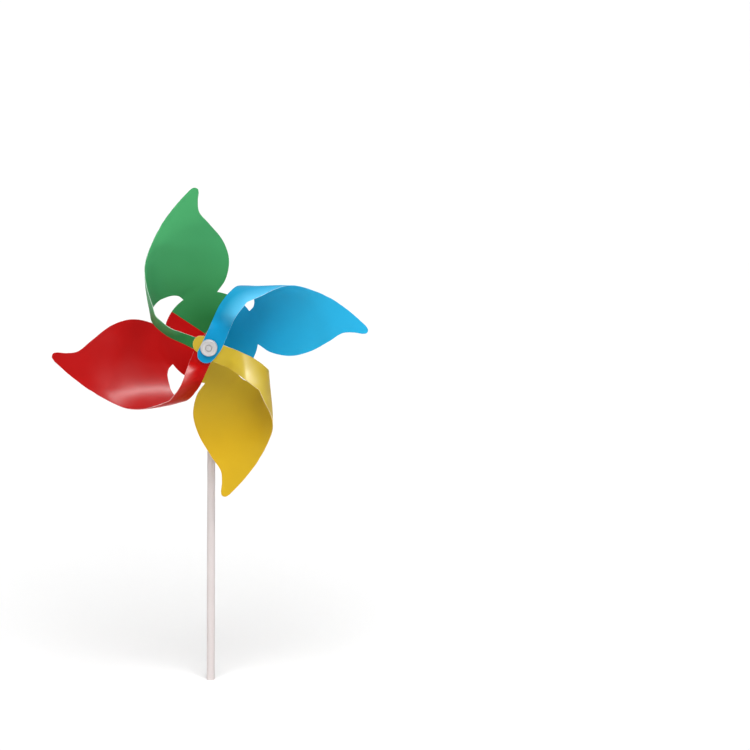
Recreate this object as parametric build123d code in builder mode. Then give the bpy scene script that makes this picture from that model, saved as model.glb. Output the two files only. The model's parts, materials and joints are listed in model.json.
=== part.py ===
"""A pinwheel: a four-coloured die-cut sheet whose straps curl forward to a button, spinning on a stick.

Millimetres, +Z up, the front faces -Y. The origin is the centre of the stick's lower end.
"""

import os
from math import hypot

from build123d import *

# Driving dimensions
STICK_LENGTH = 283.0
STICK_R = 3.1
STICK_BORE_R = 2.1
STICK_HEAD_R = 3.4
STICK_HEAD = 16.0
AXLE_HEIGHT = 275.0
PIN_R = 1.5
RUNNING_GAP = 0.05
SHEET = 0.4
HUB_SHEET = 0.5
DISC_R = 36.0
STRAP_DEPTH = 32.6
LAYER_PITCH = 0.7
ROTOR_PHASE = 0.6
BUTTON_R = 6.4

# Stations along the axle, as Y
SPACER_BACK = -STICK_HEAD_R - 0.1
SPACER_FRONT = SPACER_BACK - 5.0
FLANGE_BACK = SPACER_FRONT - 0.3
FLANGE_FRONT = FLANGE_BACK - 1.2
SKIN_Y = FLANGE_FRONT - (HUB_SHEET - SHEET) / 2
SHOULDER_Y = SKIN_Y - STRAP_DEPTH + HUB_SHEET + 0.1
BUTTON_BACK = SKIN_Y - STRAP_DEPTH - 3 * LAYER_PITCH - 0.15
BUTTON_FRONT = BUTTON_BACK - 3.0
SLEEVE_FRONT = BUTTON_BACK - 1.4
HEAD_BACK = BUTTON_FRONT + 0.6
HEAD_FRONT = BUTTON_FRONT - 0.3
REAR_CAP_FRONT = STICK_HEAD_R
REAR_CAP_BACK = STICK_HEAD_R + 3.0

# Radii on the axle
SPACER_R = 3.2
FLANGE_R = 8.0
SLEEVE_R = 3.4
NECK_R = 2.6
HEAD_R = 2.3
REAR_CAP_R = 4.0

# Each colour's turn about the axle, and its strap's place in the stack under the button
VANES = {
    "vane_blue": (0, 3),
    "vane_green": (90, 1),
    "vane_red": (180, 0),
    "vane_yellow": (270, 2),
}
COLOUR_EDGE = 55.8

# Sections of one curled vane: distance out from the axle, then (side, forward) from the lower edge
# of the leaf, over the crown of the curl, and back along the strap. None is the strap's own depth.
SECTIONS = [
    (-12, [
        (-19, 0), (0, 0), (19, 0), (35, 3.5), (43, 13), (38, 21),
        (27, 27.5), (19, 31.5), (13.5, None), (7, None), (0, None), (-16, None),
    ]),
    (0, [
        (-19, 0), (0, 0), (19, 0), (35, 3.5), (43.3, 15), (38, 22),
        (27, 28.2), (19, 31.8), (13.5, None), (7, None), (0, None), (-16, None),
    ]),
    (9, [
        (-19, 0), (0, 0), (19, 0), (35, 3.5), (43.8, 16.5), (38, 26),
        (27, 35.2), (19, 34.6), (13.5, None), (7, None), (0, None), (-16, None),
    ]),
    (18, [
        (-19, 0), (0, 0), (19, 0), (36, 4.3), (44.5, 19), (39, 36),
        (28, 46), (20, 40.2), (13.5, None), (7, None), (0, None), (-16, None),
    ]),
    (27, [
        (-19, 0), (0, 0), (19.5, 0), (38, 7), (45.4, 23), (40.5, 45),
        (30, 52), (22, 50.5), (15, 46), (9, 42), (3, 40), (-12, 37),
    ]),
    (36, [
        (-19, 0), (0, 0), (20, 1), (38, 9.5), (46.3, 28), (44, 43),
        (38, 52), (31, 56), (24, 57), (18, 56), (12, 54), (4, 51),
    ]),
    (46, [
        (-19, -0.2), (0, 0), (20, 3), (38, 12), (47.3, 31), (46.6, 40.5),
        (43.5, 48), (39, 53), (35, 56), (31, 58), (27, 59), (22, 59.5),
    ]),
    (56, [
        (-19, -0.4), (0, 0.8), (20, 5), (38, 14.5), (47.5, 31), (48, 37.5),
        (46.5, 43.5), (44.5, 47.5), (42.5, 50), (40, 52.5), (38, 54.5), (35, 56.5),
    ]),
    (66, [
        (-19, 0), (0, 2.8), (20, 8), (37, 17), (46.5, 30), (48.5, 34.5),
        (49, 39), (48.7, 42.5), (48, 45), (47, 47.5), (46, 50), (45, 52),
    ]),
    (78, [
        (-19, 1.5), (0, 6.3), (20, 13), (35, 21), (43.5, 27.5), (47, 31),
        (49.5, 34.5), (51.5, 37.5), (53, 40), (54, 42), (55, 44), (56, 46),
    ]),
    (94, [
        (-19, 7.5), (0, 12.8), (19, 18), (33, 22), (40, 24.5), (44, 26),
        (47.5, 27.5), (50.5, 29), (53, 30.3), (55, 31.4), (57, 32.5), (59, 33.5),
    ]),
    (126, [
        (-19, 19), (0, 20.5), (15, 21.7), (26, 22.5), (33, 23.2), (38, 23.8),
        (42, 24.3), (46, 25), (50, 25.7), (53, 26.2), (56, 26.8), (59, 27.4),
    ]),
]

# Die-cut outline of one vane. Below the split it is seen from the front, as (out, side);
# above it the sheet stands on edge in the curl and is seen from the side, as (out, forward).
SPLIT = 38.0
LEAF_ZONE = 40.0
STRAP_ZONE_BACK = 16.0
STRAP_ZONE = 50.0
TONGUE_TOP = 12.5
TONGUE_LAP = 1.5
SKIN_STEPS = 2
CURL_ZONE = 20.0
LEAF_LOWER = [
    (36.1, -5.2), (45.6, -11.4), (60.8, -14.1), (76, -9.7),
    (90.5, 0), (100.5, 7.4), (109, 8.4), (116, 7.6),
]
LEAF_TIP = [(116, 7.6), (119.2, 8.3), (120.1, 11.2), (118.2, 14.4)]
LEAF_UPPER = [(118.2, 14.4), (107, 24.7), (94, 34.6), (88, SPLIT)]
LEAF_ROOT = [(27.5, 19.5), (33.2, -4.4)]
WINDOW_EDGE = [(29.6, 21.0), (32.6, 24.5), (33.3, 30), (31.2, SPLIT)]
STRAP_OUTER = [(12.3, SPLIT), (7.6, 31.2), (1.6, 18.2), (-4.3, 5.3), (-8.6, -3.5)]
STRAP_END = [(-8.6, -3.5), (-8.4, -8.2), (-4.4, -11.8), (0.8, -11.6), (4.2, -8.6)]
STRAP_INNER = [(4.2, -8.6), (9.2, -1.5), (14.8, 11.4), (21.1, 27.0), (29.1, SPLIT)]
CURL_OUTER = [(12.3, 29.8), (16.5, 27.6), (20.5, 22.5), (25.1, 16.8), (31.2, 8.1)]
CURL_INNER = [(29.1, 49), (40, 47.5), (50, 41.8), (57, 36.5), (66, 32), (78, 27.2), (88, 23.75)]

# The green strap stands more on edge than the others, so its inner edge lies closer in
GREEN_STRAP_INNER = [(4.2, -8.6), (5.6, -1.5), (7.8, 11.4), (15.8, 27.0), (24.9, SPLIT)]
GREEN_CURL_INNER = [(24.9, 46.2), (36, 46.6), (48, 42.4), (57, 36.5), (66, 32), (78, 27.2), (88, 23.75)]


def smooth(stations, values, steps):
    """A curve through the values, with the same number of steps between each pair of stations."""
    last = len(values) - 1
    slopes = []
    for i in range(last + 1):
        before, after = max(i - 1, 0), min(i + 1, last)
        slopes.append((values[after] - values[before]) / (stations[after] - stations[before]))
    points = []
    for i in range(last):
        span = stations[i + 1] - stations[i]
        for step in range(steps):
            t = step / steps
            points.append(
                values[i] * (1 + 2 * t) * (1 - t) ** 2
                + slopes[i] * span * t * (1 - t) ** 2
                + values[i + 1] * t**2 * (3 - 2 * t)
                - slopes[i + 1] * span * t**2 * (1 - t)
            )
    return points + [values[-1]]


def skin_lines(layer):
    """The outer skin of one vane as lines of (out, side, forward) points running outward."""
    depth = STRAP_DEPTH + layer * LAYER_PITCH
    rows = []
    for out, profile in SECTIONS:
        sides = [side for side, forward in profile]
        forwards = [depth if forward is None else forward for side, forward in profile]
        lengths = [0]
        for i in range(1, len(profile)):
            lengths.append(lengths[-1] + hypot(sides[i] - sides[i - 1], forwards[i] - forwards[i - 1]))
        rows.append((smooth(lengths, sides, SKIN_STEPS), smooth(lengths, forwards, SKIN_STEPS)))
    stations = [out for out, profile in SECTIONS]
    outs = smooth(stations, stations, SKIN_STEPS)
    lines = []
    for i in range(len(rows[0][0])):
        sides = smooth(stations, [row[0][i] for row in rows], SKIN_STEPS)
        forwards = smooth(stations, [row[1][i] for row in rows], SKIN_STEPS)
        lines.append(list(zip(outs, sides, forwards)))
    return lines


def inner_skin(outer):
    """The points one sheet thickness inside a section's outer skin, listed back the other way."""
    last = len(outer) - 1
    inner = []
    for i, (y, z) in enumerate(outer):
        before, after = outer[max(i - 1, 0)], outer[min(i + 1, last)]
        along_y, along_z = after[0] - before[0], after[1] - before[1]
        length = hypot(along_y, along_z)
        inner.append((y - along_z / length * SHEET, z + along_y / length * SHEET))
    return inner[::-1]


def curled_sheet(layer):
    """The curled sheet of one vane before it is cut out, with its strap on the given layer."""
    with BuildPart() as sheet:
        for section in zip(*skin_lines(layer)):
            outer = [(SKIN_Y - forward, side) for out, side, forward in section]
            inner = inner_skin(outer)
            with BuildSketch(Plane.YZ.offset(section[0][0])):
                with BuildLine():
                    Spline(*outer)
                    Line(outer[-1], inner[0])
                    Spline(*inner)
                    Line(inner[-1], outer[0])
                make_face()
        loft()
    return sheet.part


def strap_outline(inner_edge, bottom, top):
    """The strap as cut from the sheet, seen from the front, between two heights."""
    with BuildSketch(mode=Mode.PRIVATE) as outline:
        with BuildLine():
            Spline(*STRAP_OUTER)
            Spline(*STRAP_END)
            Spline(*inner_edge)
            Line(inner_edge[-1], STRAP_OUTER[0])
        make_face()
        with Locations((0, (bottom + top) / 2)):
            Rectangle(4 * SPLIT, top - bottom, mode=Mode.INTERSECT)
    return outline.sketch


def vane_cutter(strap_inner, curl_inner):
    """The volume swept by one vane's outline: leaf and strap from the front, curl from the side."""
    with BuildPart() as cutter:
        with BuildSketch(Plane.XZ.offset(-5 - SKIN_Y)):
            with BuildLine():
                Spline(*LEAF_LOWER)
                Spline(*LEAF_TIP)
                Spline(*LEAF_UPPER)
                Line(LEAF_UPPER[-1], WINDOW_EDGE[-1])
                Spline(*WINDOW_EDGE)
                Polyline(WINDOW_EDGE[0], *LEAF_ROOT, LEAF_LOWER[0])
            make_face()
        extrude(amount=LEAF_ZONE)
        with BuildSketch(Plane.XZ.offset(STRAP_ZONE_BACK - SKIN_Y)):
            add(strap_outline(strap_inner, TONGUE_TOP - TONGUE_LAP, SPLIT))
        extrude(amount=STRAP_ZONE)
        with BuildSketch(Plane.XY.offset(SPLIT)):
            with BuildLine():
                Spline(*seen_from_side(CURL_OUTER))
                Polyline(*seen_from_side([CURL_OUTER[-1], (31.2, 0), (88, 0), curl_inner[-1]]))
                Spline(*seen_from_side(curl_inner))
                Polyline(*seen_from_side([curl_inner[0], (curl_inner[0][0], 60), (12.3, 60), CURL_OUTER[0]]))
            make_face()
        extrude(amount=CURL_ZONE)
    return cutter.part


def seen_from_side(outline):
    """An (out, forward) outline as points on the plane that looks along the vane's side."""
    return [(out, SKIN_Y - forward) for out, forward in outline]


def vane(name, turn, layer, strap_inner, curl_inner):
    """One colour of the sheet: its quarter of the hub disc, its leaf, curl and strap, turned into place."""
    curled = curled_sheet(layer)
    cutter = vane_cutter(strap_inner, curl_inner)
    with BuildPart() as quarter:
        add(curled)
        add(cutter, mode=Mode.INTERSECT)
        with BuildSketch(Plane.XZ.offset(-FLANGE_FRONT)):
            with BuildLine(Rotation(0, 0, COLOUR_EDGE - 90)):
                CenterArc((0, 0), DISC_R, 0, 90)
                Line((0, DISC_R), (0, 0))
                Line((0, 0), (DISC_R, 0))
            make_face()
        extrude(amount=HUB_SHEET)
        with BuildSketch(Plane.XZ.offset(STRAP_DEPTH + layer * LAYER_PITCH - SKIN_Y - SHEET - 0.05)):
            add(strap_outline(strap_inner, -SPLIT, TONGUE_TOP))
        extrude(amount=HUB_SHEET)
        with BuildSketch(Plane.XZ.offset(-FLANGE_FRONT - 1)):
            Circle(SLEEVE_R + 0.1)
        extrude(amount=HUB_SHEET + 2, mode=Mode.SUBTRACT)
        with BuildSketch(Plane.XZ.offset(-SHOULDER_Y - 1)):
            Circle(NECK_R + 0.1)
        extrude(amount=6, mode=Mode.SUBTRACT)
    turned = Pos(0, 0, AXLE_HEIGHT) * Rot(0, -turn - ROTOR_PHASE, 0) * quarter.part
    turned.label = name
    export_step(turned, f"parts/{name}.step")


def rod(name, profile):
    """A turned piece on the axle from (radius, station) corners, with its axis along Y."""
    with BuildPart() as piece:
        with BuildSketch(Plane.XY):
            with BuildLine():
                Polyline(*profile, close=True)
            make_face()
        revolve(axis=Axis.Y)
    placed = Pos(0, 0, AXLE_HEIGHT) * piece.part
    placed.label = name
    export_step(placed, f"parts/{name}.step")


os.makedirs("parts", exist_ok=True)

with BuildPart() as stick:
    with BuildSketch():
        Circle(STICK_R)
        Circle(STICK_BORE_R, mode=Mode.SUBTRACT)
    extrude(amount=STICK_LENGTH)
    with BuildSketch(Plane.XY.offset(AXLE_HEIGHT - STICK_HEAD / 2)):
        Circle(STICK_HEAD_R)
        Circle(STICK_BORE_R, mode=Mode.SUBTRACT)
    extrude(amount=STICK_HEAD)
    with BuildSketch(Plane.XZ.offset(-2 * STICK_HEAD_R)):
        with Locations((0, AXLE_HEIGHT)):
            Circle(PIN_R)
    extrude(amount=4 * STICK_HEAD_R, mode=Mode.SUBTRACT)
stick.part.label = "stick"
export_step(stick.part, "parts/stick.step")

PIN_BORE_R = PIN_R + RUNNING_GAP
rod("axle_pin", [
    (0, REAR_CAP_BACK - 0.8),
    (PIN_R, REAR_CAP_BACK - 0.8),
    (PIN_R, HEAD_BACK),
    (HEAD_R, HEAD_BACK),
    (HEAD_R - 0.3, HEAD_FRONT),
    (0, HEAD_FRONT),
])
rod("rear_cap", [
    (PIN_R, REAR_CAP_FRONT),
    (REAR_CAP_R, REAR_CAP_FRONT),
    (REAR_CAP_R, REAR_CAP_BACK - 1.2),
    (REAR_CAP_R - 1.2, REAR_CAP_BACK),
    (0, REAR_CAP_BACK),
    (0, REAR_CAP_BACK - 0.8),
    (PIN_R, REAR_CAP_BACK - 0.8),
])
rod("spacer", [
    (PIN_BORE_R, SPACER_BACK),
    (SPACER_R, SPACER_BACK),
    (SPACER_R, SPACER_FRONT),
    (PIN_BORE_R, SPACER_FRONT),
])
rod("hub_sleeve", [
    (PIN_BORE_R, FLANGE_BACK),
    (FLANGE_R, FLANGE_BACK),
    (FLANGE_R, FLANGE_FRONT),
    (SLEEVE_R, FLANGE_FRONT),
    (SLEEVE_R, SHOULDER_Y),
    (NECK_R, SHOULDER_Y),
    (NECK_R, SLEEVE_FRONT),
    (PIN_BORE_R, SLEEVE_FRONT),
])
rod("front_button", [
    (NECK_R, BUTTON_BACK),
    (BUTTON_R, BUTTON_BACK),
    (BUTTON_R, BUTTON_FRONT + 0.5),
    (BUTTON_R - 0.5, BUTTON_FRONT),
    (BUTTON_R - 1.1, BUTTON_FRONT),
    (BUTTON_R - 1.6, BUTTON_FRONT + 0.4),
    (HEAD_R + 0.3, BUTTON_FRONT + 0.4),
    (HEAD_R + 0.3, HEAD_BACK + 0.4),
    (PIN_R + 0.35, HEAD_BACK + 0.4),
    (PIN_R + 0.35, SLEEVE_FRONT),
    (NECK_R, SLEEVE_FRONT),
])

for name, (turn, layer) in VANES.items():
    if name == "vane_green":
        vane(name, turn, layer, GREEN_STRAP_INNER, GREEN_CURL_INNER)
    else:
        vane(name, turn, layer, STRAP_INNER, CURL_INNER)
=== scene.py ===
"""The looks of a pinwheel: a thin four-colour sheet, its button and its stick, in a pale studio.

The sheet is rebuilt here as a fine, even mesh over the same curled surface as the CAD quarters.
Lengths in the tables are millimetres; everything that is placed in the scene is in metres.
"""

import json
import math

import bpy
import numpy as np
from mathutils import Matrix, Vector
from mathutils.geometry import delaunay_2d_cdt


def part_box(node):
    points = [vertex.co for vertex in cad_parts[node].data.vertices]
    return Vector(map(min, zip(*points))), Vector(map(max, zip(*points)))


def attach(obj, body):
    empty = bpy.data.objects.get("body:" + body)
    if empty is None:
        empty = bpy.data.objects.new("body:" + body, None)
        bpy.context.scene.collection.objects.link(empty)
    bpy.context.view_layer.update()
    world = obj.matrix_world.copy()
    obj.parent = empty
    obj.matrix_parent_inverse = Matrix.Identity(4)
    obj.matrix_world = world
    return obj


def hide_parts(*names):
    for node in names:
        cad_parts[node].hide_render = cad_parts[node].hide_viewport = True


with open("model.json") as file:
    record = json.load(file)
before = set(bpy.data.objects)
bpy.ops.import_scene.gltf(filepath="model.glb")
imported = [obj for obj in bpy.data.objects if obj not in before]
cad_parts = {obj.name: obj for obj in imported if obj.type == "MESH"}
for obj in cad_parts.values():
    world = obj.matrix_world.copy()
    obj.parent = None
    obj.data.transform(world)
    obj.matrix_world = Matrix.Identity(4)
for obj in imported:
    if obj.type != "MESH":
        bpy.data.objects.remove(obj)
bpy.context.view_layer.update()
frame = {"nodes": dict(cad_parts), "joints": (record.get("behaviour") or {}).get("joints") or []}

# ---------------------------------------------------------------- places taken from the frame
MM = 0.001
AXLE_Z = frame["joints"][0]["pos_m"][2]
FLANGE = 1.2
SHEET = 0.4
HUB_SHEET = 0.5
LAYER_PITCH = 0.7
BUTTON_GAP = 0.15
SKIN_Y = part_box("hub_sleeve")[1].y / MM - FLANGE - (HUB_SHEET - SHEET) / 2
BUTTON_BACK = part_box("front_button")[1].y / MM
STRAP_DEPTH = SKIN_Y - BUTTON_BACK - 3 * LAYER_PITCH - BUTTON_GAP

# ---------------------------------------------------------------- the curled sheet, one colour of it
DISC_R = 36.0
DISC_HOLE_R = 3.5
STRAP_HOLE_R = 2.7
NECK_ANGLES = (-8.0, 35.4)
COLOUR_EDGES = (-34.2, 55.8)
ROTOR_PHASE = 0.6
SPLIT = 38.0
MESH_STEP = 1.25
FINE_STEP = 0.7
EDGE_STEP = 0.9
DISC_HOLE_STEP = 0.6
STRAP_HOLE_STEP = 0.8
COLOUR_EDGE_POINTS = 27
LEAST_GAP = 0.35
WELD_REACH = 0.02
SWEEP_TRIES = 900
NECK_BLEND = 7.0
RIM_BULGE = 0.09
SHARP_ANGLE = 38

# Each colour's turn about the axle, and its strap's place in the stack under the button
COLOURS = {"blue": (0, 3), "green": (90, 1), "red": (180, 0), "yellow": (270, 2)}

# Sections of the curl: distance out from the axle, then (side, forward) from the leaf's lower edge,
# over the crown of the curl, and back along the strap. None is the strap's own depth.
SECTIONS = [
    (-12, [
        (-19, 0), (0, 0), (19, 0), (35, 3.5), (43, 13), (38, 21),
        (27, 27.5), (19, 31.5), (13.5, None), (7, None), (0, None), (-16, None),
    ]),
    (0, [
        (-19, 0), (0, 0), (19, 0), (35, 3.5), (43.3, 15), (38, 22),
        (27, 28.2), (19, 31.8), (13.5, None), (7, None), (0, None), (-16, None),
    ]),
    (9, [
        (-19, 0), (0, 0), (19, 0), (35, 3.5), (43.8, 16.5), (38, 26),
        (27, 35.2), (19, 34.6), (13.5, None), (7, None), (0, None), (-16, None),
    ]),
    (18, [
        (-19, 0), (0, 0), (19, 0), (36, 4.3), (44.5, 19), (39, 36),
        (28, 46), (20, 40.2), (13.5, None), (7, None), (0, None), (-16, None),
    ]),
    (27, [
        (-19, 0), (0, 0), (19.5, 0), (38, 7), (45.4, 23), (40.5, 45),
        (30, 52), (22, 50.5), (15, 46), (9, 42), (3, 40), (-12, 37),
    ]),
    (36, [
        (-19, 0), (0, 0), (20, 1), (38, 9.5), (46.3, 28), (44, 43),
        (38, 52), (31, 56), (24, 57), (18, 56), (12, 54), (4, 51),
    ]),
    (46, [
        (-19, -0.2), (0, 0), (20, 3), (38, 12), (47.3, 31), (46.6, 40.5),
        (43.5, 48), (39, 53), (35, 56), (31, 58), (27, 59), (22, 59.5),
    ]),
    (56, [
        (-19, -0.4), (0, 0.8), (20, 5), (38, 14.5), (47.5, 31), (48, 37.5),
        (46.5, 43.5), (44.5, 47.5), (42.5, 50), (40, 52.5), (38, 54.5), (35, 56.5),
    ]),
    (66, [
        (-19, 0), (0, 2.8), (20, 8), (37, 17), (46.5, 30), (48.5, 34.5),
        (49, 39), (48.7, 42.5), (48, 45), (47, 47.5), (46, 50), (45, 52),
    ]),
    (78, [
        (-19, 1.5), (0, 6.3), (20, 13), (35, 21), (43.5, 27.5), (47, 31),
        (49.5, 34.5), (51.5, 37.5), (53, 40), (54, 42), (55, 44), (56, 46),
    ]),
    (94, [
        (-19, 7.5), (0, 12.8), (19, 18), (33, 22), (40, 24.5), (44, 26),
        (47.5, 27.5), (50.5, 29), (53, 30.3), (55, 31.4), (57, 32.5), (59, 33.5),
    ]),
    (126, [
        (-19, 19), (0, 20.5), (15, 21.7), (26, 22.5), (33, 23.2), (38, 23.8),
        (42, 24.3), (46, 25), (50, 25.7), (53, 26.2), (56, 26.8), (59, 27.4),
    ]),
]

# The section whose lengths lay out the flat mesh, and the points of a section that are the leaf's
FLAT_PROFILE = 5
LEAF_TURNS = 4

# The die-cut outline. Below the split it is (out, side), as seen from the front;
# above it, where the sheet stands on edge, it is (out, forward), as seen from the side.
LEAF_LOWER = [
    (36.1, -5.2), (45.6, -11.4), (60.8, -14.1), (76, -9.7),
    (90.5, 0), (100.5, 7.4), (109, 8.4), (116, 7.6),
]
LEAF_TIP = [(116, 7.6), (119.2, 8.3), (120.1, 11.2), (118.2, 14.4)]
LEAF_UPPER = [(118.2, 14.4), (107, 24.7), (94, 34.6), (88, SPLIT)]
WINDOW_EDGE = [(29.6, 21.0), (32.6, 24.5), (33.3, 30), (31.2, SPLIT)]
STRAP_OUTER = [(12.3, SPLIT), (7.6, 31.2), (1.6, 18.2), (-4.3, 5.3), (-8.6, -3.5)]
STRAP_END = [(-8.6, -3.5), (-8.4, -8.2), (-4.4, -11.8), (0.8, -11.6), (4.2, -8.6)]
STRAP_INNER = [(4.2, -8.6), (9.2, -1.5), (14.8, 11.4), (21.1, 27.0), (29.1, SPLIT)]
CURL_OUTER = [(12.3, 29.8), (16.5, 27.6), (20.5, 22.5), (25.1, 16.8), (31.2, 8.1)]
CURL_INNER = [(29.1, 49), (40, 47.5), (50, 41.8), (57, 36.5), (66, 32), (78, 27.2), (88, 23.75)]

# The green strap stands more on edge than the others, so its inner edge lies closer in
GREEN_STRAP_INNER = [(4.2, -8.6), (5.6, -1.5), (7.8, 11.4), (15.8, 27.0), (24.9, SPLIT)]
GREEN_CURL_INNER = [(24.9, 46.2), (36, 46.6), (48, 42.4), (57, 36.5), (66, 32), (78, 27.2), (88, 23.75)]
STRAP_EDGES = {"green": (GREEN_STRAP_INNER, GREEN_CURL_INNER)}


def slopes_through(stations, values):
    """The slope at each value, from its neighbours on both sides."""
    before = np.maximum(np.arange(len(stations)) - 1, 0)
    after = np.minimum(np.arange(len(stations)) + 1, len(stations) - 1)
    runs = (stations[after] - stations[before]).reshape(-1, *[1] * (values.ndim - 1))
    return (values[after] - values[before]) / runs


def cubic(t, span, start, end, start_slope, end_slope):
    """The smooth step from start to end with a slope at each, at a share t of the span."""
    return (
        start * (1 + 2 * t) * (1 - t) ** 2
        + start_slope * span * t * (1 - t) ** 2
        + end * t**2 * (3 - 2 * t)
        - end_slope * span * t**2 * (1 - t)
    )


def hermite(stations, values, at):
    """Points on the smooth curve through values, which are given at the stations."""
    stations = np.asarray(stations, float)
    values = np.asarray(values, float)
    slopes = slopes_through(stations, values)
    i = np.clip(np.searchsorted(stations, at) - 1, 0, len(stations) - 2)
    span = (stations[i + 1] - stations[i])[:, None]
    t = (np.asarray(at, float) - stations[i])[:, None] / span
    return cubic(t, span, values[i], values[i + 1], slopes[i], slopes[i + 1])


def chord_lengths(points):
    """How far along the line through the points each one lies."""
    steps = np.linalg.norm(np.diff(np.asarray(points, float), axis=0), axis=1)
    return np.concatenate([[0], np.cumsum(steps)])


class Curl:
    """The surface of one colour's sheet, as a function of the distance out and of the way round."""

    def __init__(self, layer):
        depth = STRAP_DEPTH + layer * LAYER_PITCH
        self.outs = np.array([out for out, profile in SECTIONS], float)
        self.profiles = [
            np.array([(side, depth if forward is None else forward) for side, forward in profile], float)
            for out, profile in SECTIONS
        ]
        self.turns = np.arange(len(self.profiles[0]), dtype=float)
        self.lengths = [chord_lengths(profile) for profile in self.profiles]
        self.reference = self.lengths[FLAT_PROFILE]

    def at(self, out, turn):
        """(out, side, forward) at each pair of a distance out and a place along the profile."""
        rows = np.stack([
            hermite(lengths, profile, np.interp(turn, self.turns, lengths))
            for lengths, profile in zip(self.lengths, self.profiles)
        ])
        slopes = slopes_through(self.outs, rows)
        i = np.clip(np.searchsorted(self.outs, out) - 1, 0, len(self.outs) - 2)
        k = np.arange(len(out))
        span = (self.outs[i + 1] - self.outs[i])[:, None]
        t = (out - self.outs[i])[:, None] / span
        side_forward = cubic(t, span, rows[i, k], rows[i + 1, k], slopes[i, k], slopes[i + 1, k])
        return np.column_stack([out, side_forward])

    def turn_of(self, out, value, zone):
        """Where along the profile a point of the outline lies."""
        tries = np.linspace(0, self.turns[-1], SWEEP_TRIES)
        swept = self.at(np.full(len(tries), out), tries)
        crown = int(np.argmax(swept[:, 1]))
        if zone == "leaf":
            return np.interp(value, swept[:crown + 1, 1], tries[:crown + 1])
        if zone == "strap":
            return np.interp(-value, -swept[crown:, 1], tries[crown:])
        high = np.nonzero(swept[:, 1] > SPLIT - 1)[0]
        return np.interp(value, swept[high, 2], tries[high])

    def flat(self, out, turn):
        """The surface's own flat coordinates, in which its mesh is laid out."""
        return np.column_stack([out, np.interp(turn, self.turns, self.reference)])

    def turn_from_flat(self, flat):
        return np.interp(flat[:, 1], self.reference, self.turns)


def sampled(points, step):
    """Points a step apart along the smooth line through a few points."""
    lengths = chord_lengths(points)
    count = max(2, int(round(lengths[-1] / step)) + 1)
    return hermite(lengths, points, np.linspace(0, lengths[-1], count))


def arc(radius, start, end, step):
    """Points a step apart on a circle, with its angles in degrees."""
    count = max(2, int(round(abs(math.radians(end - start)) * radius / step)) + 1)
    angles = np.radians(np.linspace(start, end, count))
    return np.column_stack([radius * np.cos(angles), radius * np.sin(angles)])


def vane_loop(curl, strap_inner, curl_inner):
    """The cut edge of the leaf, curl and strap, in the surface's flat coordinates."""
    neck = arc(DISC_R, NECK_ANGLES[1], NECK_ANGLES[0], EDGE_STEP)
    runs = [
        (neck, "leaf"),
        (sampled(LEAF_LOWER, EDGE_STEP), "leaf"),
        (sampled(LEAF_TIP, FINE_STEP), "leaf"),
        (sampled(LEAF_UPPER, EDGE_STEP), "leaf"),
        (sampled(curl_inner[::-1], EDGE_STEP), "curl"),
        (sampled(strap_inner[::-1], EDGE_STEP), "strap"),
        (sampled(STRAP_END[::-1], FINE_STEP), "strap"),
        (sampled(STRAP_OUTER[::-1], EDGE_STEP), "strap"),
        (sampled(CURL_OUTER, EDGE_STEP), "curl"),
        (sampled(WINDOW_EDGE[::-1], EDGE_STEP), "leaf"),
    ]
    loop = []
    for points, zone in runs:
        for out, value in points:
            flat = curl.flat(np.array([out]), np.array([curl.turn_of(out, value, zone)]))[0]
            if not loop or np.linalg.norm(flat - loop[-1]) > LEAST_GAP:
                loop.append(flat)
    if np.linalg.norm(loop[0] - loop[-1]) < LEAST_GAP:
        loop.pop()
    return np.array(loop)


def inside(points, loop):
    """Which points lie inside a closed loop."""
    found = np.zeros(len(points), bool)
    for (x0, y0), (x1, y1) in zip(loop, np.roll(loop, -1, axis=0)):
        crosses = (y0 > points[:, 1]) != (y1 > points[:, 1])
        with np.errstate(divide="ignore", invalid="ignore"):
            at_x = x0 + (points[:, 1] - y0) * (x1 - x0) / (y1 - y0)
        found ^= crosses & (points[:, 0] < at_x)
    return found


def triangles(loop, holes):
    """An even triangle mesh of a flat region with holes: its points and its triangles."""
    low, high = loop.min(0), loop.max(0)
    rows = []
    for n, y in enumerate(np.arange(low[1], high[1], MESH_STEP * math.sqrt(3) / 2)):
        xs = np.arange(low[0] + (n % 2) * MESH_STEP / 2, high[0], MESH_STEP)
        rows.append(np.column_stack([xs, np.full(len(xs), y)]))
    grid = np.vstack(rows)
    keep = inside(grid, loop)
    for hole in holes:
        keep &= ~inside(grid, hole)
    grid = grid[keep]
    rims = np.vstack([loop, *holes])
    nearest = np.min(np.linalg.norm(grid[:, None] - rims[None], axis=2), axis=1)
    grid = grid[nearest > MESH_STEP * 0.55]
    edges = []
    start = 0
    for rim in [loop, *holes]:
        edges += [(start + i, start + (i + 1) % len(rim)) for i in range(len(rim))]
        start += len(rim)
    points = np.vstack([rims, grid])
    made = delaunay_2d_cdt([Vector(p) for p in points], edges, [], 0, 1e-6)
    flat = np.array([tuple(p) for p in made[0]])
    faces = np.array([f for f in made[2] if len(f) == 3])
    middles = flat[faces].mean(axis=1)
    keep = inside(middles, loop)
    for hole in holes:
        keep &= ~inside(middles, hole)
    return flat, faces[keep]


def circle(radius, step):
    return arc(radius, 0, 360, step)[:-1]


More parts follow.
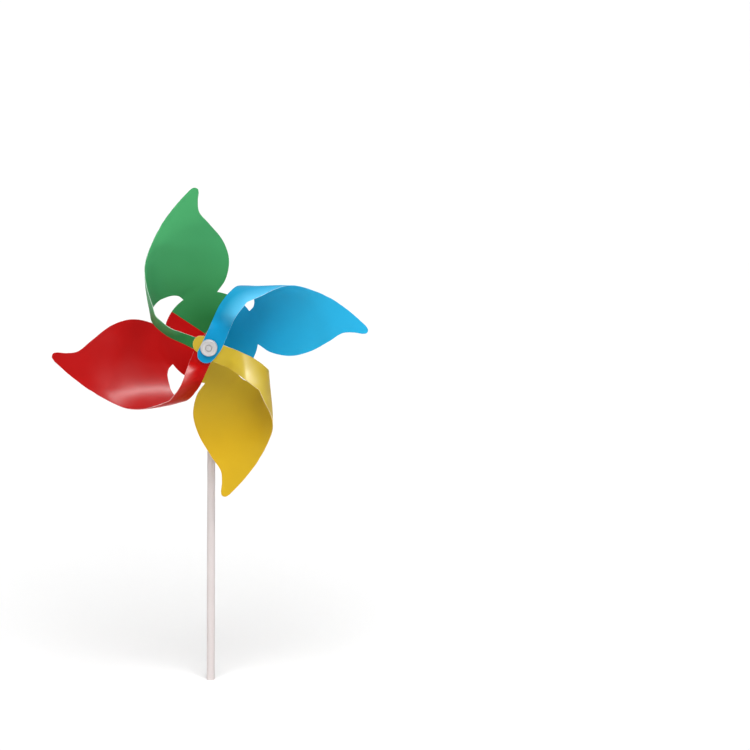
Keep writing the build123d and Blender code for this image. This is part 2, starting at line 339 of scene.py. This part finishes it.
def sheet_skin(colour, layer):
    """The outer skin of one colour, as (out, side, forward) points and triangles."""
    curl = Curl(layer)
    loop = vane_loop(curl, *STRAP_EDGES.get(colour, (STRAP_INNER, CURL_INNER)))
    strap_hole = []
    for out, side in circle(STRAP_HOLE_R, STRAP_HOLE_STEP):
        strap_hole.append(curl.flat(np.array([out]), np.array([curl.turn_of(out, side, "strap")]))[0])
    flat, faces = triangles(loop, [np.array(strap_hole)])
    points = curl.at(flat[:, 0], curl.turn_from_flat(flat))
    level = np.clip((np.hypot(points[:, 0], points[:, 1]) - DISC_R) / NECK_BLEND, 0, 1)
    on_leaf = curl.turn_from_flat(flat) < LEAF_TURNS
    points[on_leaf, 2] *= (level * level * (3 - 2 * level))[on_leaf]

    first, last = COLOUR_EDGES
    radii = np.linspace(DISC_R, DISC_HOLE_R, COLOUR_EDGE_POINTS)[1:-1]
    disc_loop = np.vstack([
        arc(DISC_R, first, NECK_ANGLES[0], EDGE_STEP)[:-1],
        arc(DISC_R, NECK_ANGLES[1], NECK_ANGLES[0], EDGE_STEP)[::-1],
        arc(DISC_R, NECK_ANGLES[1], last, EDGE_STEP)[1:],
        np.outer(radii, direction(last)),
        arc(DISC_HOLE_R, last, first, DISC_HOLE_STEP),
        np.outer(radii[::-1], direction(first)),
    ])
    disc, disc_faces = triangles(disc_loop, [])
    disc = np.column_stack([disc, np.zeros(len(disc))])
    return weld(np.vstack([points, disc]), np.vstack([faces, disc_faces + len(points)]))


def direction(angle):
    return np.array([math.cos(math.radians(angle)), math.sin(math.radians(angle))])


def weld(points, faces):
    """The same mesh with points that lie together made one, and unused points dropped."""
    keys = np.round(points / WELD_REACH).astype(np.int64)
    _, first, which = np.unique(keys, axis=0, return_index=True, return_inverse=True)
    faces = which.reshape(-1)[faces]
    good = (faces[:, 0] != faces[:, 1]) & (faces[:, 1] != faces[:, 2]) & (faces[:, 2] != faces[:, 0])
    used, faces = np.unique(faces[good], return_inverse=True)
    return points[first][used], faces.reshape(-1, 3)


def point_normals(points, faces):
    corners = points[faces]
    across = np.cross(corners[:, 1] - corners[:, 0], corners[:, 2] - corners[:, 0])
    normals = np.zeros_like(points)
    for corner in range(3):
        np.add.at(normals, faces[:, corner], across)
    return normals / np.linalg.norm(normals, axis=1)[:, None]


def open_edges(faces):
    """Each edge that only one triangle has, in that triangle's direction."""
    directed = np.vstack([faces[:, [0, 1]], faces[:, [1, 2]], faces[:, [2, 0]]])
    known = {(int(a), int(b)) for a, b in directed}
    return [(a, b) for a, b in known if (b, a) not in known]


def on_colour_edge(point):
    """True on the straight lines of the hub disc where one colour meets the next."""
    if math.hypot(point[0], point[1]) > DISC_R + 0.05 or abs(point[2]) > 0.01:
        return False
    return any(abs(point[1] * direction(a)[0] - point[0] * direction(a)[1]) < 0.03 for a in COLOUR_EDGES)


def sheet_piece(colour, turn, layer):
    """One colour of the sheet as a closed piece with a rounded cut edge."""
    skin, faces = sheet_skin(colour, layer)
    inward = point_normals(skin, faces)
    count = len(skin)
    rims = open_edges(faces)
    outward = {}
    for a, b in rims:
        away = np.cross(skin[b] - skin[a], (inward[a] + inward[b]) / 2)
        away /= np.linalg.norm(away)
        for end in (a, b):
            outward[end] = outward.get(end, 0) + away
    points = [*skin, *(skin + inward * SHEET)]
    middle = {}
    for i, away in outward.items():
        bulge = 0 if on_colour_edge(skin[i]) else RIM_BULGE
        middle[i] = len(points)
        points.append(skin[i] + inward[i] * SHEET / 2 + away / np.linalg.norm(away) * bulge)
    polygons = [tuple(f[::-1]) for f in faces] + [tuple(f + count) for f in faces]
    skins = len(polygons)
    cut = []
    for a, b in rims:
        polygons.append((a, b, middle[b], middle[a]))
        polygons.append((middle[a], middle[b], b + count, a + count))
        joined = on_colour_edge(skin[a]) and on_colour_edge(skin[b])
        cut += [0 if joined else 1] * 2

    angle = math.radians(turn + ROTOR_PHASE)
    points = np.array(points)
    placed = np.column_stack([
        points[:, 0] * math.cos(angle) - points[:, 1] * math.sin(angle),
        SKIN_Y - points[:, 2],
        AXLE_Z / MM + points[:, 0] * math.sin(angle) + points[:, 1] * math.cos(angle),
    ])
    mesh = bpy.data.meshes.new(f"sheet_{colour}")
    mesh.from_pydata((placed * MM).tolist(), [], [tuple(int(i) for i in p) for p in polygons])
    mesh.polygons.foreach_set("material_index", [0] * skins + cut)
    mesh.validate()
    mesh.shade_smooth()
    mesh.set_sharp_from_angle(angle=math.radians(SHARP_ANGLE))
    piece = bpy.data.objects.new(f"sheet_{colour}", mesh)
    bpy.context.scene.collection.objects.link(piece)
    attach(piece, "rotor")
    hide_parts(f"vane_{colour}")
    return piece


# ---------------------------------------------------------------- materials
# The shaders' specular level, the distances from the axle between which the painted shading near the hub
# gives way to the inks' own colours, and the places along the axle between which the painted light over the
# crowns of the curls begins, in metres
SHEEN = 0.09
PAINTED_SHADING_REACH = (0.016, 0.046, 0.078)
PAINTED_LIGHT_START = -0.045
PAINTED_LIGHT_END = -0.060
PAINTED_LIGHT_SHARE = 0.8


class Nodes:
    """A short way to build one material's nodes."""

    def __init__(self, name):
        self.material = bpy.data.materials.new(name)
        self.material.use_nodes = True
        self.tree = self.material.node_tree
        self.shader = self.tree.nodes["Principled BSDF"]
        self.shader.inputs["Specular IOR Level"].default_value = SHEEN
        self.where = self.tree.nodes.new("ShaderNodeTexCoord").outputs["Object"]

    def link(self, source, target):
        self.tree.links.new(source, target)

    def stretched(self, scale):
        """Coordinates stretched by a factor on each axis."""
        mapping = self.tree.nodes.new("ShaderNodeMapping")
        mapping.inputs["Scale"].default_value = scale
        self.link(self.where, mapping.inputs["Vector"])
        return mapping.outputs["Vector"]

    def from_axle(self):
        """Distance from the rotor's axle, in metres."""
        mapping = self.tree.nodes.new("ShaderNodeMapping")
        mapping.inputs["Location"].default_value = (0, 0, -AXLE_Z)
        mapping.inputs["Scale"].default_value = (1, 0, 1)
        self.link(self.where, mapping.inputs["Vector"])
        length = self.tree.nodes.new("ShaderNodeVectorMath")
        length.operation = "LENGTH"
        self.link(mapping.outputs["Vector"], length.inputs[0])
        return length.outputs["Value"]

    def forward(self):
        """The place along the axle, as Y in metres."""
        parts = self.tree.nodes.new("ShaderNodeSeparateXYZ")
        self.link(self.where, parts.inputs["Vector"])
        return parts.outputs["Y"]

    def noise(self, scale, detail=3, where=None):
        node = self.tree.nodes.new("ShaderNodeTexNoise")
        node.inputs["Scale"].default_value = scale
        node.inputs["Detail"].default_value = detail
        self.link(where or self.where, node.inputs["Vector"])
        return node.outputs["Fac"]

    def ramp(self, source, stops):
        """A colour ramp from (place, colour) stops."""
        node = self.tree.nodes.new("ShaderNodeValToRGB")
        elements = node.color_ramp.elements
        while len(elements) < len(stops):
            elements.new(0.5)
        for element, (place, colour) in zip(elements, stops):
            element.position = place
            element.color = (*colour, 1)
        self.link(source, node.inputs["Fac"])
        return node.outputs["Color"]

    def ranged(self, source, low, high, to_low, to_high):
        node = self.tree.nodes.new("ShaderNodeMapRange")
        node.inputs["From Min"].default_value = low
        node.inputs["From Max"].default_value = high
        node.inputs["To Min"].default_value = to_low
        node.inputs["To Max"].default_value = to_high
        self.link(source, node.inputs["Value"])
        return node.outputs["Result"]

    def bump(self, height, strength, distance, before=None):
        node = self.tree.nodes.new("ShaderNodeBump")
        node.inputs["Strength"].default_value = strength
        node.inputs["Distance"].default_value = distance
        self.link(height, node.inputs["Height"])
        if before is not None:
            self.link(before, node.inputs["Normal"])
        self.link(node.outputs["Normal"], self.shader.inputs["Normal"])
        return node.outputs["Normal"]


def shade(colour, factor):
    return tuple(min(1.0, c * factor) for c in colour)


def mean(one, other):
    return tuple((a + b) / 2 for a, b in zip(one, other))


def pale(colour, share):
    return tuple(c + (1 - c) * share for c in colour)


def printed_plastic_with_painted_light(name, near, far, crown):
    """Thin satin plastic, printed, with painted shading near the hub that gives way outward to the ink, and
    painted light over the crowns of the curls.
    """
    nodes = Nodes(name)
    # Painted shading near the hub, between the straps and the disc, ramping out to the ink's own colour on
    # the leaf
    stops = list(zip(PAINTED_SHADING_REACH, (near, mean(near, far), far)))
    mix = nodes.tree.nodes.new("ShaderNodeMix")
    mix.data_type = "RGBA"
    mix.blend_type = "MULTIPLY"
    mix.inputs["Factor"].default_value = 1
    nodes.link(nodes.ramp(nodes.from_axle(), stops), mix.inputs["A"])
    nodes.link(
        nodes.ramp(nodes.noise(14, 2), [(0.25, (0.93,) * 3), (0.5, (0.98,) * 3), (0.75, (1.0,) * 3)]),
        mix.inputs["B"],
    )
    # The crowns of the curls stand well forward of the leaves; there painted light pales the colour
    lit = nodes.tree.nodes.new("ShaderNodeMix")
    lit.data_type = "RGBA"
    lit.inputs["B"].default_value = (*crown, 1)
    nodes.link(nodes.ranged(nodes.forward(), PAINTED_LIGHT_START, PAINTED_LIGHT_END, 0, PAINTED_LIGHT_SHARE), lit.inputs["Factor"])
    nodes.link(mix.outputs["Result"], lit.inputs["A"])
    nodes.link(lit.outputs["Result"], nodes.shader.inputs["Base Color"])
    nodes.link(nodes.ranged(nodes.noise(55, 4), 0.3, 0.7, 0.40, 0.48), nodes.shader.inputs["Roughness"])
    waves = nodes.bump(nodes.noise(22, 1), 0.06, 0.0006)
    nodes.bump(nodes.noise(2600, 2), 0.06, 0.00004, waves)
    return nodes.material


def cut_edge(name, colour):
    """The die-cut rim, where the pale core shows through a little of the ink."""
    nodes = Nodes(name)
    stops = [(0.3, pale(colour, 0.30)), (0.55, pale(colour, 0.42)), (0.8, pale(colour, 0.55))]
    nodes.link(nodes.ramp(nodes.noise(420, 3), stops), nodes.shader.inputs["Base Color"])
    nodes.shader.inputs["Roughness"].default_value = 0.55
    nodes.bump(nodes.noise(1500, 2), 0.15, 0.00005)
    return nodes.material


def moulded_plastic(name, colour, roughness):
    """Injection-moulded plastic with a fine orange-peel skin and a trace of handling."""
    nodes = Nodes(name)
    stops = [(0.3, shade(colour, 0.95)), (0.6, colour), (0.9, shade(colour, 1.03))]
    nodes.link(nodes.ramp(nodes.noise(160, 4), stops), nodes.shader.inputs["Base Color"])
    nodes.link(
        nodes.ranged(nodes.noise(340, 3), 0.3, 0.7, roughness - 0.05, roughness + 0.07),
        nodes.shader.inputs["Roughness"],
    )
    nodes.bump(nodes.noise(900, 2), 0.08, 0.00006)
    return nodes.material


def extruded_plastic(name, colour):
    """The stick: extruded, so its faint lines run along it."""
    nodes = Nodes(name)
    along = nodes.stretched((1, 1, 0.02))
    lines = nodes.noise(900, 3, along)
    stops = [(0.3, shade(colour, 0.965)), (0.55, colour), (0.8, shade(colour, 1.02))]
    nodes.link(nodes.ramp(nodes.noise(40, 3), stops), nodes.shader.inputs["Base Color"])
    nodes.link(nodes.ranged(lines, 0.3, 0.7, 0.38, 0.5), nodes.shader.inputs["Roughness"])
    nodes.bump(lines, 0.12, 0.00008)
    return nodes.material


# Each ink with painted shading near the hub, its own colour out on the leaf, and with painted light over
# the crown of the curl
INKS_WITH_PAINTED_LIGHT = {
    "blue": ((0.003, 0.255, 0.500), (0.021, 0.425, 0.740), (0.120, 0.560, 0.860)),
    "green": ((0.018, 0.150, 0.036), (0.062, 0.355, 0.128), (0.085, 0.330, 0.130)),
    "red": ((0.430, 0.002, 0.002), (0.390, 0.002, 0.002), (0.430, 0.028, 0.018)),
    "yellow": ((0.500, 0.360, 0.030), (0.590, 0.370, 0.016), (0.570, 0.435, 0.070)),
}
WHITE = (0.80, 0.785, 0.775)
STICK = (0.68, 0.615, 0.605)
BUTTON = (0.50, 0.485, 0.485)

for colour, (turn, layer) in COLOURS.items():
    piece = sheet_piece(colour, turn, layer)
    piece.data.materials.append(printed_plastic_with_painted_light(f"ink_{colour}", *INKS_WITH_PAINTED_LIGHT[colour]))
    piece.data.materials.append(cut_edge(f"cut_{colour}", INKS_WITH_PAINTED_LIGHT[colour][1]))

# The rounding of the moulded pieces' edges, in metres and degrees, and the gap that is closed first
ROUNDING = 0.00018
ROUNDED_ANGLE = 35
CLOSED_GAP = 0.000005

FINISHES = {
    "stick": extruded_plastic("stick_plastic", STICK),
    "axle_pin": moulded_plastic("pin_plastic", shade(BUTTON, 0.93), 0.3),
    "rear_cap": moulded_plastic("cap_plastic", WHITE, 0.34),
    "spacer": moulded_plastic("spacer_plastic", WHITE, 0.34),
    "hub_sleeve": moulded_plastic("sleeve_plastic", WHITE, 0.34),
    "front_button": moulded_plastic("button_plastic", BUTTON, 0.28),
}
for name, material in FINISHES.items():
    node = frame["nodes"][name]
    node.data.materials.clear()
    node.data.materials.append(material)
    weld_points = node.modifiers.new("weld", "WELD")
    weld_points.merge_threshold = CLOSED_GAP
    rounding = node.modifiers.new("rounding", "BEVEL")
    rounding.width = ROUNDING
    rounding.segments = 3
    rounding.limit_method = "ANGLE"
    rounding.angle_limit = math.radians(ROUNDED_ANGLE)
    node.data.shade_smooth()

# ---------------------------------------------------------------- floor, light and camera
floor_mesh = bpy.data.meshes.new("floor")
FAR = 40.0
floor_mesh.from_pydata([(-FAR, -FAR, 0), (FAR, -FAR, 0), (FAR, FAR, 0), (-FAR, FAR, 0)], [], [(0, 1, 2, 3)])
floor = bpy.data.objects.new("floor", floor_mesh)
bpy.context.scene.collection.objects.link(floor)
floor_nodes = Nodes("floor_paper")
floor_tones = [(0.3, (0.955, 0.955, 0.955)), (0.7, (0.965, 0.965, 0.965))]
floor_nodes.link(
    floor_nodes.ramp(floor_nodes.noise(3, 2), floor_tones),
    floor_nodes.shader.inputs["Base Color"],
)
floor_nodes.shader.inputs["Roughness"].default_value = 0.95
floor_nodes.shader.inputs["Specular IOR Level"].default_value = 0.1
floor_mesh.materials.append(floor_nodes.material)


def lamp(name, kind, power):
    """A light of the given kind and power, still at the origin and facing down."""
    light = bpy.data.lights.new(name, kind)
    light.energy = power
    holder = bpy.data.objects.new(name, light)
    bpy.context.scene.collection.objects.link(holder)
    return holder


# The lamp and the camera are set by a point on the axle, a little past halfway from the hub disc
# to the straps
PAST_HALFWAY = 0.0016
hub = Vector((0, (SKIN_Y - STRAP_DEPTH / 2) * MM - PAST_HALFWAY, AXLE_Z))

# The softbox only shows as a sheen on the curls; the sun gives the plain light
softbox = lamp("softbox", "AREA", 370)
softbox.data.shape = "SQUARE"
softbox.data.size = 0.9
softbox.location = (0.62, -0.12, 1.90)
softbox.rotation_euler = (hub - softbox.location).to_track_quat("-Z", "Y").to_euler()
softbox.visible_diffuse = False

# A broad, hazy sun lights the floor evenly, however far back it runs
sun = lamp("sun", "SUN", 3.1)
sun.data.angle = math.radians(50)
sun.rotation_euler = (math.radians(38), 0, math.radians(5))
sun.visible_glossy = False

world = bpy.data.worlds.new("studio")
bpy.context.scene.world = world
world.use_nodes = True
world.node_tree.nodes["Background"].inputs["Color"].default_value = (1, 1, 1, 1)
world.node_tree.nodes["Background"].inputs["Strength"].default_value = 0.3

# The camera stands a little to the right of the axle's line and above it, far away, as with a long lens.
# The hub stands left of the picture's middle and a little above it, as shares of half the picture.
AZIMUTH = math.radians(2.6)
ELEVATION = math.radians(12.6)
LENS = 216.0
SENSOR = 36.0
DISTANCE = 3.42
ROLL = math.radians(0.65)
FRAME_HALF = SENSOR / 2 / LENS
HUB_LEFT = 0.4403
HUB_ABOVE = 0.085

camera_data = bpy.data.cameras.new("camera")
camera_data.lens = LENS
camera_data.sensor_width = SENSOR
camera_data.clip_end = 100
camera = bpy.data.objects.new("camera", camera_data)
bpy.context.scene.collection.objects.link(camera)
bpy.context.scene.camera = camera

sight = Vector((
    -math.sin(AZIMUTH) * math.cos(ELEVATION),
    math.cos(AZIMUTH) * math.cos(ELEVATION),
    -math.sin(ELEVATION),
))
right = Vector((math.cos(AZIMUTH), math.sin(AZIMUTH), 0))
up = right.cross(sight)
aim = hub + (right * HUB_LEFT - up * HUB_ABOVE) * FRAME_HALF * DISTANCE
camera.location = hub - sight * DISTANCE
facing = (aim - camera.location).to_track_quat("-Z", "Y").to_matrix()
camera.rotation_mode = "QUATERNION"
camera.rotation_quaternion = (facing @ Matrix.Rotation(ROLL, 3, "Z")).to_quaternion()

bpy.context.scene.view_settings.view_transform = "Standard"
